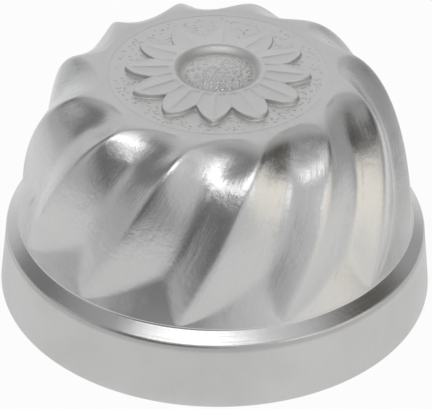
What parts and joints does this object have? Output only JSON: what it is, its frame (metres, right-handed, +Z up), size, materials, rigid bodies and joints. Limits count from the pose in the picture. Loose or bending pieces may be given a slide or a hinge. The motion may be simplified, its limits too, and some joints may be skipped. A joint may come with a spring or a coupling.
{
  "type": "brioche mould",
  "caption": "Round aluminium brioche mould with a swirled fluted dome, a daisy medallion in the crown and a plain rim with a rolled edge, standing open side down.",
  "frame": {"origin": "centre of the circle that the rolled lower edge stands on", "axes": "+Z up, from the open mouth towards the crown; -Y faces the camera of the picture; +X to its right"},
  "size_m": [0.122, 0.122, 0.0708],
  "materials": {
    "dome_sheet": "drawn sheet, satin on the ridges and polished bright in the flutes",
    "medallion_sheet": "coined sheet, matt, with a stippled ground",
    "rim_sheet": "satin skirt under a ledge with fine turning marks",
    "rim_wire": "drawn wire"
  },
  "bodies": {
    "root": {"fluted_dome": "dome_sheet", "flower_medallion": "medallion_sheet", "rim_band": "rim_sheet", "rim_wire": "rim_wire"}
  },
  "joints": []
}
